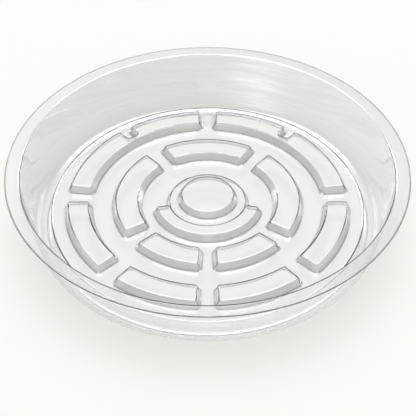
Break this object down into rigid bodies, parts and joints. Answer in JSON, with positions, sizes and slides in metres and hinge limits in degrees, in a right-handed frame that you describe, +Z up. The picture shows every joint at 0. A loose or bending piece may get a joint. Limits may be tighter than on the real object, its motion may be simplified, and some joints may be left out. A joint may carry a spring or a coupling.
{
  "type": "plant saucer",
  "caption": "Round clear plastic plant saucer with a flat rim, a flared wall, a gutter foot and a raised floor carrying rings of hollow ribs around a centre boss.",
  "frame": {"origin": "centre of the plane that the foot rests on, on the saucer's axis", "axes": "+Z up along the saucer's axis, +Y to the rear of the rib pattern (the far side in the picture), +X to the right in the picture"},
  "size_m": [0.2672, 0.2672, 0.0452],
  "materials": {
    "clear_sheet": "clear, smooth and glossy"
  },
  "bodies": {
    "root": {"rim_flange": "clear_sheet", "side_wall": "clear_sheet", "foot_channel": "clear_sheet", "floor_panel": "clear_sheet", "rear_outer_rib_left": "clear_sheet", "rear_outer_rib_right": "clear_sheet", "side_outer_rib_left": "clear_sheet", "side_outer_rib_right": "clear_sheet", "front_outer_rib_left": "clear_sheet", "front_outer_rib_right": "clear_sheet", "rear_middle_rib": "clear_sheet", "side_middle_rib_left": "clear_sheet", "side_middle_rib_right": "clear_sheet", "front_middle_rib_left": "clear_sheet", "front_middle_rib_right": "clear_sheet", "inner_half_rib": "clear_sheet", "centre_tier": "clear_sheet", "centre_boss": "clear_sheet"}
  },
  "joints": []
}
